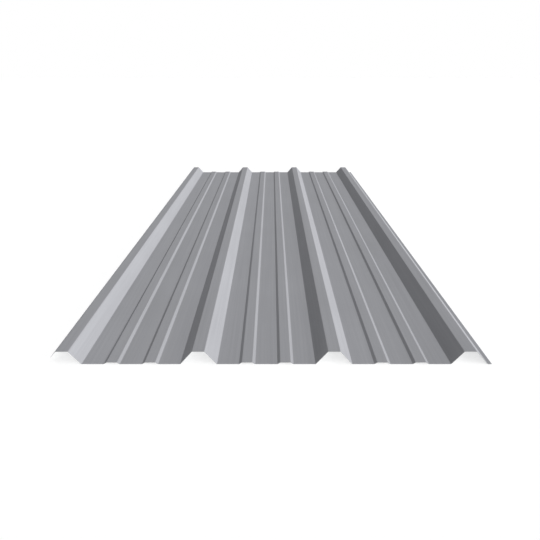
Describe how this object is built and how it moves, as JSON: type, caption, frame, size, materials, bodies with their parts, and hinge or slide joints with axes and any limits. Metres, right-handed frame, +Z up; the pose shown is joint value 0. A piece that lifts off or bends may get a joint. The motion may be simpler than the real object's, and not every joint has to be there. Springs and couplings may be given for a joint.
{
  "type": "corrugated metal sheet",
  "caption": "Steel roofing and wall sheet with high trapezoidal ribs, low stiffening ribs in the flats between them, a short lap edge and a footed edge.",
  "frame": {"origin": "centre of the sheet's plan outline, at the level of the underside of the flat pans", "axes": "+X across the ribs towards the footed edge, +Y along the ribs, +Z up towards the weather side"},
  "size_m": [0.9914, 2.4384, 0.0318],
  "materials": {
    "painted_steel": "satin"
  },
  "bodies": {
    "root": {"ribbed_sheet": "painted_steel"}
  },
  "joints": []
}
